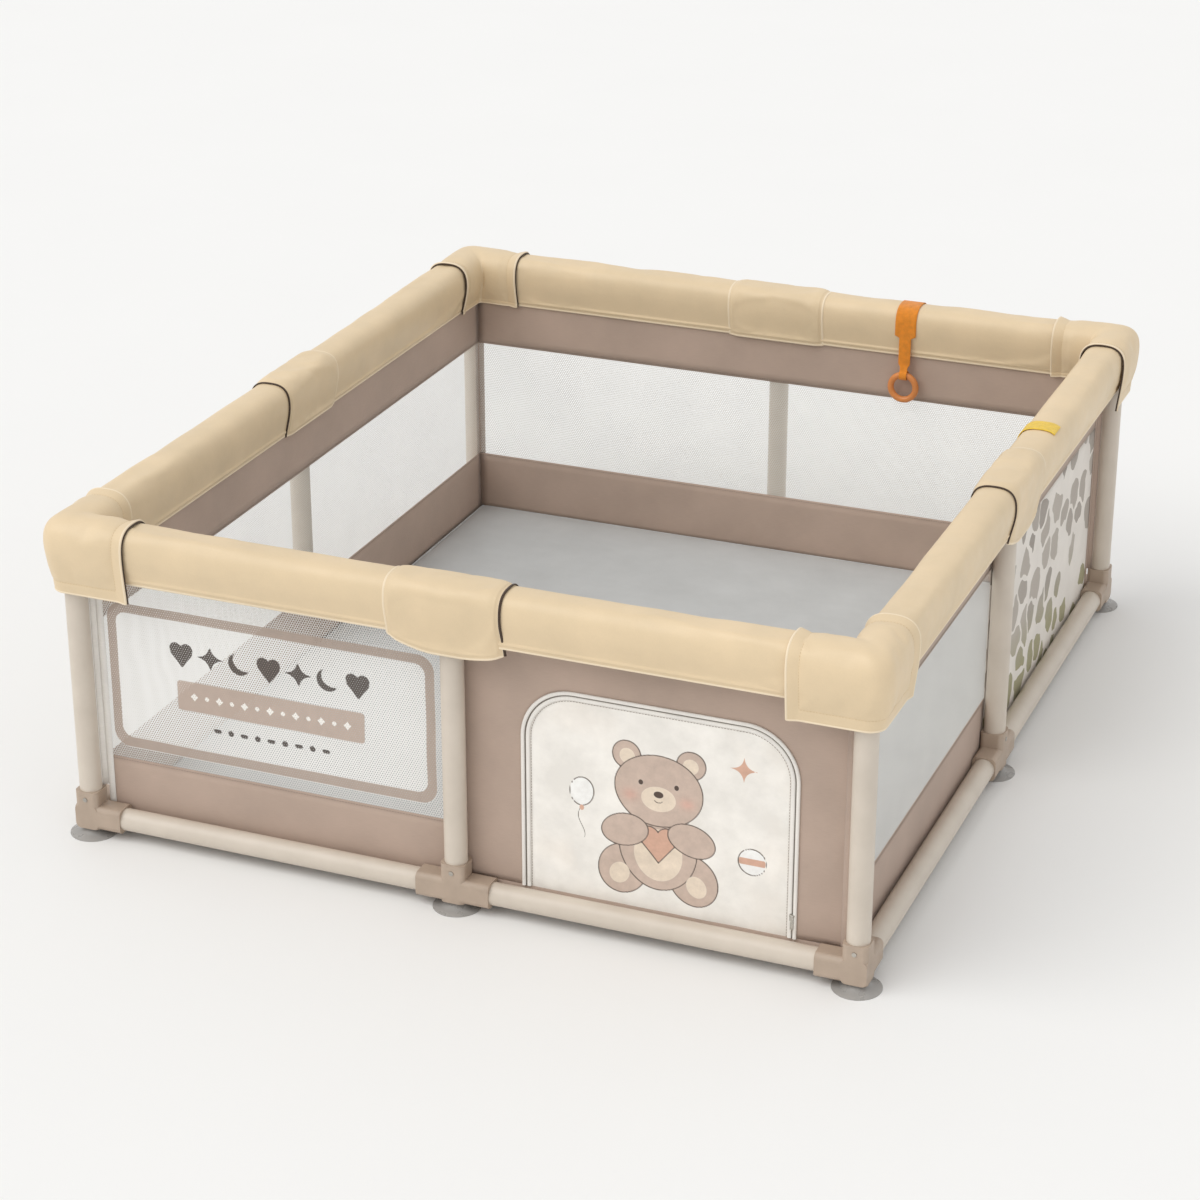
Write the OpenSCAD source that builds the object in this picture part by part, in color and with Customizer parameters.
// Square-cornered baby playpen: a tube frame on suction feet, a padded top rail under
// leather-like covers, hanging fabric walls, a zipped door and two pull-up rings.
// The origin is on the floor at the centre of the pen. +X is right, -Y is the front.

/* [Overall] */
// Width over the corner covers, left to right
overall_w = 1500; // [1100:10:1900]
// Depth over the corner covers, front to back
overall_d = 1730; // [1100:10:2100]
// Height from the floor to the top of the corner covers
overall_h = 605; // [500:5:800]

/* [Tube frame] */
// Outside diameter of the posts and of every rail tube
tube_d = 40; // [32:1:46]
// Wall of the tubes
tube_wall = 1.4; // [1:0.2:3]
// Wall of the moulded connectors outside the tube
socket_wall = 2.0; // [2:0.2:4]
// Reach of a connector arm from the centre of the post
arm_reach = 67; // [50:1:90]
// Height of an upright socket above the centre of the bottom tubes
upright_reach = 50; // [40:1:80]
// Diameter of the snap buttons that lock the posts
button_d = 8; // [6:0.5:10]
// Travel of a snap button
button_travel = 3; // [2:0.5:4]

/* [Suction feet] */
// Diameter of a suction foot
foot_d = 84; // [60:1:100]
// Height of a suction foot under its connector
foot_h = 15; // [10:1:25]

/* [Padded rail] */
// Thickness of the foam round the top tubes
foam_t = 16; // [8:1:22]
// Thickness of the long rail covers
rail_skin = 2.5; // [1.5:0.5:4]
// Thickness of the corner covers and of the middle covers
cover_skin = 3; // [2:0.5:4]
// Drop of a rail cover below the rail centre on the outside
hem_drop_out = 54; // [50:1:70]
// Drop of a rail cover below the rail centre on the inside
hem_drop_in = 61; // [55:1:75]
// Drop of the skirt of a corner cover below the rail centre
skirt_drop = 88; // [70:1:110]
// Drop of a middle flap below the rail centre
flap_drop = 82; // [70:1:110]
// Length of a corner cover along the rail, from the centre of the post
corner_leg = 120; // [95:1:160]
// Length of a middle cover along the rail
mid_cover_l = 204; // [150:2:280]

/* [Fabric walls and floor] */
// Thickness of the wall fabric
cloth_t = 1.5; // [1:0.1:2.5]
// Thickness of the floor mat
mat_t = 28; // [10:1:40]

/* [Door] */
// Width of the door panel
door_w = 468; // [300:2:520]
// Height of the door panel
door_h = 366; // [250:2:370]
// Radius of the two top corners of the door
door_r = 86; // [40:1:110]
// Height of the fold at the bottom of the door
door_sill = 52; // [45:1:80]
// Clear width of the zipper round the door
zip_gap = 2; // [1.6:0.1:3]
// Travel of the zipper slider
zip_travel = 220; // [120:5:230]

/* [Pull-up rings] */
// Outside diameter of a ring
ring_d = 66; // [50:1:80]
// Diameter of the round bar of a ring
ring_bar = 13; // [8:1:14]
// Width of the strap over the rail
strap_w = 44; // [30:1:60]
// Place of the strap along the back rail, from the centre towards the right
back_strap_at = 282; // [160:1:400]
// Place of the strap along the right rail, from the centre towards the back
right_strap_at = 225; // [160:1:400]

/* [Hidden] */

$fn = 48;
cream = "#E2CDA9";
tube_colour = "#D6CBBC";
plastic_colour = "#BAA894";
taupe = "#A89484";
mesh_colour = "#DCDCD7";
print_colour = "#ECE8E0";
mat_colour = "#BABDBD";
foot_colour = "#AFACA8";
orange = "#E89228";
yellow = "#FAD750";
steel = "#B8B4AE";

tube_fit = 0.2;                 // gap round a tube in its socket
end_gap = 0.5;                  // gap at the end of a tube
skin_gap = 0.4;                 // gap between a cover and what is under it
cloth_gap = 0.5;                // gap between the walls and the connectors
conn_w = tube_d + 2 * (tube_fit + socket_wall);
conn_r = 10;                    // rounding of a connector's edges
tube_stop = conn_w / 2 + 2;     // where a tube stops, from the centre of the post
foam_fit = 0.3;
foam_r = tube_d / 2 + foam_t;
rail_r = foam_r + foam_fit + rail_skin;
cover_r = rail_r + skin_gap + cover_skin;
post_x = overall_w / 2 - cover_r;
post_y = overall_d / 2 - cover_r;
tube_z = foot_h + conn_w / 2;
rail_z = overall_h - cover_r;
button_z = tube_z + 0.7 * upright_reach;
stem_d = 10;                    // stem of a foot, up into its connector
stem_h = 8;
button_hole = button_d + 0.6;

cloth_y = conn_w / 2 + cloth_gap;         // outer face of the walls, inwards of the posts
cloth_in = cloth_y + cloth_t;
cloth_base = foot_h - 3;                  // the walls end above the slope of the feet
cloth_top = rail_z - hem_drop_in + 12;
hem_half = cloth_in + skin_gap + rail_skin;       // half width of a rail cover at its hem
hem_over = hem_half + skin_gap + cover_skin;      // the same under a corner cover
skirt_half = hem_over + 3;
hip_r = 30;                               // rounding of a corner cover's outer edge
mat_gap = 1.5;
foam_end = arm_reach + 8;
cover_end = arm_reach + 13;

flap_angle = 35;                          // seam of a middle cover above the horizontal
seam_gap = 0.3;
hinge_y = -cover_r * cos(flap_angle);
hinge_z = rail_z + cover_r * sin(flap_angle);

door_x = post_x / 2;
fold_gap = 1;                             // gap between the door and its fold
slider_x = door_x + door_w / 2 + zip_gap / 2;
slider_z = door_sill + 40;
slider_gap = 0.3;
plate_t = 2.4;
plate_w = 10;
plate_h = 14;
pin_d = 1.2;
pin_y = cloth_y - slider_gap - plate_t - 2.3;
pin_z = slider_z + 4;
pull_w = 5;
pull_l = 24;

strap_t = 1.6;
tail_w = 25;
tail_t = 2.4;
strap_end = 4;                            // the strap leaves the rail this far below its centre
tail_y = rail_r + skin_gap + tail_t / 2;
tail_top = rail_z - strap_end - 1;
tail_l = 88;
tail_head = 15;                           // wide part of the tail
ring_mid = (ring_d - ring_bar) / 2;       // radius to the middle of the bar
loop_w = 16;
loop_dip = ring_mid - sqrt(ring_mid * ring_mid - loop_w * loop_w / 4);
loop_in = ring_bar / 2 + loop_dip + 0.8;
loop_z = tail_top - tail_l - loop_in;

// Side k is 0 front, 1 right, 2 back, 3 left. Its frame has X along the rail,
// the posts at Y = 0, and -Y outwards.
function half_span(k) = k % 2 == 0 ? post_x : post_y;
function side_out(k) = k % 2 == 0 ? post_y : post_x;
module on_side(k) { rotate([0, 0, 90 * k]) translate([0, -side_out(k), 0]) children(); }
// Corner frame: legs along +X and +Y, outside towards -X and -Y.
module at_corner(sx, sy) {
  translate([sx * post_x, sy * post_y, 0])
    mirror([sx > 0 ? 1 : 0, 0, 0]) mirror([0, sy > 0 ? 1 : 0, 0]) children();
}
// A (Y, Z) outline drawn out along X from x0 to x1
module along_x(x0, x1) {
  translate([x0, 0, 0]) rotate([90, 0, 90]) linear_extrude(x1 - x0) children();
}
module soft_square(w, r) {
  square([w, w - 2 * r], center = true);
  square([w - 2 * r, w], center = true);
  for (sx = [-1, 1], sy = [-1, 1]) translate([sx * (w / 2 - r), sy * (w / 2 - r)]) circle(r);
}
module tube_along_x(x0, x1) {
  along_x(x0, x1) difference() { circle(d = tube_d); circle(d = tube_d - 2 * tube_wall); }
}

// ---- moulded connectors ----
module arm_x() { along_x(-conn_w / 2, arm_reach) soft_square(conn_w, conn_r); }
module bore_x() {
  translate([tube_stop, 0, 0]) rotate([0, 90, 0]) cylinder(d = tube_d + 2 * tube_fit, h = arm_reach);
}
module upright() {
  translate([0, 0, -conn_w / 2]) linear_extrude(conn_w / 2 + upright_reach) soft_square(conn_w, conn_r);
}
module upright_bore() {
  translate([0, 0, tube_stop]) cylinder(d = tube_d + 2 * tube_fit, h = upright_reach);
}
module foot_hole() {
  translate([0, 0, -conn_w / 2 - 1]) cylinder(d = stem_d + 2 * tube_fit, h = stem_h + 1.5);
}
module button_bore() {
  translate([0, 0, button_z - tube_z]) rotate([90, 0, 0]) cylinder(d = button_hole, h = conn_w);
}
module corner_body() {
  difference() {
    union() { arm_x(); mirror([1, -1, 0]) arm_x(); upright(); }
    bore_x();
    mirror([1, -1, 0]) bore_x();
    upright_bore();
  }
}
module tee_body() {
  difference() {
    union() { arm_x(); mirror([1, 0, 0]) arm_x(); upright(); }
    bore_x();
    mirror([1, 0, 0]) bore_x();
    upright_bore();
  }
}
module corner_connector(sx, sy, button) {
  color(plastic_colour) at_corner(sx, sy) translate([0, 0, tube_z]) difference() {
    corner_body();
    foot_hole();
    if (button) button_bore();
  }
}
module tee_connector(k) {
  color(plastic_colour) on_side(k) translate([0, 0, tube_z]) difference() {
    tee_body();
    foot_hole();
    button_bore();
  }
}
module top_corner_connectors() {
  color(plastic_colour) for (sx = [-1, 1], sy = [-1, 1])
    at_corner(sx, sy) translate([0, 0, rail_z]) mirror([0, 0, 1]) corner_body();
}
module top_tee_connectors() {
  color(plastic_colour) for (k = [0:3]) on_side(k) translate([0, 0, rail_z]) mirror([0, 0, 1]) tee_body();
}

// ---- tubes ----
module side_tubes(k, z) {
  color(tube_colour) on_side(k) for (s = [0, 1]) mirror([s, 0, 0])
    translate([0, 0, z]) tube_along_x(tube_stop + end_gap, half_span(k) - tube_stop - end_gap);
}
module post() {
  z0 = tube_z + tube_stop + end_gap;
  z1 = rail_z - tube_stop - end_gap;
  translate([0, 0, z0]) linear_extrude(z1 - z0) difference() {
    circle(d = tube_d);
    circle(d = tube_d - 2 * tube_wall);
  }
}
module drilled_post() {
  difference() { post(); translate([0, 0, tube_z]) button_bore(); }
}
module corner_post(sx, sy, button) {
  color(tube_colour) at_corner(sx, sy) { if (button) drilled_post(); else post(); }
}
module middle_posts() { color(tube_colour) for (k = [0:3]) on_side(k) drilled_post(); }
module top_tubes() { for (k = [0:3]) side_tubes(k, rail_z); }

// ---- snap buttons: a pin with a flange inside the post ----
module snap_button() {
  flange_y = conn_w / 2 - socket_wall - tube_fit - tube_wall - 2.2;
  color(steel) translate([0, 0, button_z]) rotate([90, 0, 0]) {
    translate([0, 0, flange_y]) cylinder(d = button_d, h = conn_w / 2 + 1.2 - flange_y);
    translate([0, 0, flange_y - 2]) cylinder(d = button_d + 4, h = 2);
  }
}
module button_on_side(k) { on_side(k) snap_button(); }
module button_on_corner(sx, sy) { at_corner(sx, sy) snap_button(); }

// ---- suction feet ----
module suction_foot() {
  rotate_extrude() polygon([[0, 0], [foot_d / 2, 0], [foot_d / 2, 1.6], [foot_d / 2 - 12, 3.4],
    [16, foot_h - 4], [12, foot_h], [stem_d / 2, foot_h], [stem_d / 2, foot_h + stem_h],
    [0, foot_h + stem_h]]);
}
module at_feet() {
  for (sx = [-1, 1], sy = [-1, 1]) at_corner(sx, sy) children();
  for (k = [0:3]) on_side(k) children();
}
module suction_feet() { color(foot_colour) at_feet() suction_foot(); }

// ---- padded rail ----
module foam_along_x(x0, x1) {
  along_x(x0, x1) difference() { circle(foam_r); circle(tube_d / 2 + foam_fit); }
}
module rail_foam() {
  color("#F2F0EA") for (k = [0:3], s = [0, 1]) on_side(k) mirror([s, 0, 0])
    translate([0, 0, rail_z]) foam_along_x(foam_end, half_span(k) - foam_end);
}
// Round top and two sides that draw in to the hem; the outside is towards -Y
module padded_prism(x0, x1, r, half_out, half_in, out, in) {
  along_x(x0, x1) circle(r);
  along_x(x0, x1) polygon([[-r, 0], [r, 0], [half_in, -in], [-half_out, -out]]);
}
// The room inside such a cover, open below
module padded_room(x0, x1, r, half_out, half_in, out, in) {
  padded_prism(x0 - 1, x1 + 1, r, half_out, half_in, out, in);
  along_x(x0 - 1, x1 + 1) polygon([[-half_out, -out], [0, -out + 20], [half_in, -in],
    [half_in, -in - 100], [-half_out, -in - 100]]);
}
module rail_cover(k) {
  e = half_span(k) - cover_end;
  inner = hem_half - rail_skin;
  color(cream) on_side(k) translate([0, 0, rail_z]) difference() {
    padded_prism(-e, e, rail_r, hem_half, hem_half, hem_drop_out, hem_drop_in);
    padded_room(-e, e, rail_r - rail_skin, inner, inner, hem_drop_out, hem_drop_in);
  }
}

// ---- corner covers: two legs meeting in a hip outside the post ----
module corner_leg_x(x0, x1, cut) {
  padded_prism(x0, x1, cover_r - cut, skirt_half - cut, hem_over - cut, skirt_drop, hem_drop_in + 3);
}
module corner_room_x(x0, x1) {
  padded_room(x0, x1, cover_r - cover_skin, skirt_half - cover_skin, hem_over - cover_skin,
    skirt_drop, hem_drop_in + 3);
}
// What is left outside the post is where both legs would run, with a rounded edge
module hip(r) {
  intersection() {
    children(0);
    mirror([1, -1, 0]) children(0);
    translate([hip_r - r, hip_r - r, -300]) {
      cylinder(r = hip_r, h = 600);
      translate([0, -hip_r, 0]) cube([2 * r, 2 * r, 600]);
      translate([-hip_r, 0, 0]) cube([2 * r, 2 * r, 600]);
    }
  }
}
module corner_cover(sx, sy) {
  color(cream) at_corner(sx, sy) translate([0, 0, rail_z]) difference() {
    union() {
      corner_leg_x(0, corner_leg, 0);
      mirror([1, -1, 0]) corner_leg_x(0, corner_leg, 0);
      hip(cover_r) corner_leg_x(-cover_r, 0.01, 0);
    }
    corner_room_x(1, corner_leg);
    mirror([1, -1, 0]) corner_room_x(1, corner_leg);
    hip(cover_r - cover_skin) corner_room_x(-cover_r, 0.01);
  }
}

// ---- middle covers: a saddle over the top and inside, and a flap on the outside ----
module mid_shell() {
  e = mid_cover_l / 2;
  inner = hem_over - cover_skin;
  difference() {
    padded_prism(-e, e, cover_r, hem_over, hem_over, flap_drop, hem_drop_in + 3);
    padded_room(-e, e, cover_r - cover_skin, inner, inner, flap_drop, hem_drop_in + 3);
  }
}
// Everything outside and below the seam
module flap_side(gap) {
  along_x(-mid_cover_l, mid_cover_l) {
    rotate(-flap_angle) translate([-300, -300 - gap]) square([300, 300]);
    translate([-300, -300]) square([300, 300 - gap]);
  }
}
module middle_cover(k) {
  color(cream) on_side(k) translate([0, 0, rail_z]) difference() { mid_shell(); flap_side(0); }
}
module flap(k) {
  color(cream) on_side(k) translate([0, 0, rail_z]) intersection() { mid_shell(); flap_side(seam_gap); }
}

// ---- fabric walls ----
module wall(k, x0, x1) {
  on_side(k) translate([x0, cloth_y, cloth_base]) cube([x1 - x0, cloth_t, cloth_top - cloth_base]);
}
function wall_end(k) = half_span(k) - cloth_in - cloth_gap;
bay_gap = 0.25;
module wall_front_mesh() { color(mesh_colour) wall(0, -wall_end(0), -bay_gap); }
module wall_right_mesh() { color(mesh_colour) wall(1, -wall_end(1), -bay_gap); }
module wall_right_print() { color(print_colour) wall(1, bay_gap, wall_end(1)); }
module wall_back() { color(mesh_colour) wall(2, -wall_end(2), wall_end(2)); }
module wall_left() { color(mesh_colour) wall(3, -wall_end(3), wall_end(3)); }
// Door outline: straight sides and foot, two round top corners. The hole for it is grown
// by the zipper's gap and reaches a little below its fold.
module door_outline(grow, below) {
  w = door_w + 2 * grow;
  h = door_h + grow;
  r = door_r + grow;
  translate([-w / 2, -below]) square([w, h - r + below]);
  translate([-w / 2 + r, -below]) square([w - 2 * r, h + below]);
  for (s = [-1, 1]) translate([s * (w / 2 - r), h - r]) circle(r);
}
module door_sheet(grow, below, y, t) {
  translate([door_x, y + t, door_sill + fold_gap]) rotate([90, 0, 0]) linear_extrude(t)
    door_outline(grow, below);
}
module wall_front_door() {
  color(taupe) difference() {
    wall(0, bay_gap, wall_end(0));
    on_side(0) door_sheet(zip_gap, 2.5 * fold_gap, cloth_y - 1, cloth_t + 2);
  }
}
module door_panel() { color(print_colour) on_side(0) door_sheet(0, 0, cloth_y, cloth_t); }

// ---- zipper ----
module zipper_slider() {
  plate_y = cloth_y - slider_gap;
  color(steel) on_side(0) {
    translate([slider_x - plate_w / 2, plate_y - plate_t, slider_z - plate_h / 2])
      cube([plate_w, plate_t, plate_h]);
    translate([slider_x - 0.5, plate_y - 0.1, slider_z - plate_h / 2])
      cube([1, cloth_t + 2 * slider_gap + 0.2, plate_h]);
    translate([slider_x - 0.5, cloth_in + slider_gap, slider_z - plate_h / 2])
      cube([plate_w / 2, 2, plate_h]);
    for (s = [-1, 1]) translate([slider_x + s * 3.8 - 0.6, pin_y - 1.2, pin_z - 1.2])
      cube([1.2, plate_y - plate_t - pin_y + 1.3, 2.4]);
    translate([slider_x - 3.8, pin_y, pin_z]) rotate([0, 90, 0]) cylinder(d = pin_d, h = 7.6);
  }
}
module zipper_pull() {
  color(steel) on_side(0) translate([slider_x, pin_y, pin_z]) rotate([0, 90, 0])
    translate([0, 0, -pull_w / 2]) linear_extrude(pull_w) difference() {
      union() {
        circle(1.6);
        translate([0, -0.7]) square([pull_l, 1.4]);
        translate([pull_l, 0]) circle(0.7);
      }
      circle(pin_d / 2 + 0.3);
    }
}

// ---- floor ----
module floor_mat() {
  x = post_x - cloth_in - mat_gap;
  y = post_y - cloth_in - mat_gap;
  color(mat_colour) difference() {
    translate([-x, -y, 0]) cube([2 * x, 2 * y, mat_t]);
    at_feet() translate([0, 0, -1]) cylinder(d = foot_d + 2, h = foot_h - 3 + 1);
  }
}

// ---- pull-up rings ----
module strap(k, x) {
  inner = rail_r + skin_gap;
  color(k == 2 ? orange : yellow) on_side(k) translate([x, 0, rail_z]) along_x(-strap_w / 2, strap_w / 2)
    difference() {
      circle(inner + strap_t);
      circle(inner);
      translate([-100, -200 - strap_end]) square([200, 200]);
    }
}
module strap_tail(k, x) {
  color(k == 2 ? orange : yellow) on_side(k) translate([x, tail_y, 0]) {
    difference() {
      union() {
        translate([-strap_w / 2, -tail_t / 2, tail_top - tail_head]) cube([strap_w, tail_t, tail_head]);
        translate([-tail_w / 2, -tail_t / 2, tail_top - tail_l + 10]) cube([tail_w, tail_t, tail_l - 10]);
        translate([-loop_w / 2, -tail_t / 2, tail_top - tail_l - 1]) cube([loop_w, tail_t, 12]);
        translate([0, 0, loop_z]) along_x(-loop_w / 2, loop_w / 2) circle(loop_in + strap_t);
      }
      translate([0, 0, loop_z]) along_x(-loop_w, loop_w) circle(loop_in);
    }
  }
}
module pull_ring(k, x) {
  color(k == 2 ? "#D6965F" : "#F2CF5A") on_side(k)
    translate([x, tail_y, loop_z - ring_mid + loop_dip / 2]) rotate([90, 0, 0])
      rotate_extrude() translate([ring_mid, 0]) circle(d = ring_bar, $fn = 32);
}

corner_connector(-1, -1, true);  // corner_connector_front_left
corner_connector(1, -1, true);  // corner_connector_front_right
corner_connector(-1, 1, false);  // corner_connector_back_left
corner_connector(1, 1, false);  // corner_connector_back_right
tee_connector(0);  // tee_connector_front
tee_connector(1);  // tee_connector_right
tee_connector(2);  // tee_connector_back
tee_connector(3);  // tee_connector_left
side_tubes(0, tube_z);  // bottom_tubes_front
side_tubes(1, tube_z);  // bottom_tubes_right
side_tubes(2, tube_z);  // bottom_tubes_back
side_tubes(3, tube_z);  // bottom_tubes_left
corner_post(-1, -1, true);  // corner_post_front_left
corner_post(1, -1, true);  // corner_post_front_right
corner_post(-1, 1, false);  // corner_post_back_left
corner_post(1, 1, false);  // corner_post_back_right
middle_posts();
top_corner_connectors();
top_tee_connectors();
top_tubes();
rail_foam();
rail_cover(0);  // rail_cover_front
rail_cover(1);  // rail_cover_right
rail_cover(2);  // rail_cover_back
rail_cover(3);  // rail_cover_left
corner_cover(-1, -1);  // corner_cover_front_left
corner_cover(1, -1);  // corner_cover_front_right
corner_cover(-1, 1);  // corner_cover_back_left
corner_cover(1, 1);  // corner_cover_back_right
middle_cover(0);  // middle_cover_front
middle_cover(1);  // middle_cover_right
middle_cover(2);  // middle_cover_back
middle_cover(3);  // middle_cover_left
flap(0);  // flap_front
flap(1);  // flap_right
flap(2);  // flap_back
flap(3);  // flap_left
wall_front_mesh();
wall_front_door();
wall_right_mesh();
wall_right_print();
wall_back();
wall_left();
door_panel();
zipper_slider();
zipper_pull();
floor_mat();
suction_feet();
strap(2, -back_strap_at);  // strap_back
strap_tail(2, -back_strap_at);  // strap_tail_back
pull_ring(2, -back_strap_at);  // pull_ring_back
strap(1, right_strap_at);  // strap_right
strap_tail(1, right_strap_at);  // strap_tail_right
pull_ring(1, right_strap_at);  // pull_ring_right
button_on_side(0);  // button_front
button_on_side(1);  // button_right
button_on_side(2);  // button_back
button_on_side(3);  // button_left
button_on_corner(-1, -1);  // button_front_left
button_on_corner(1, -1);  // button_front_right
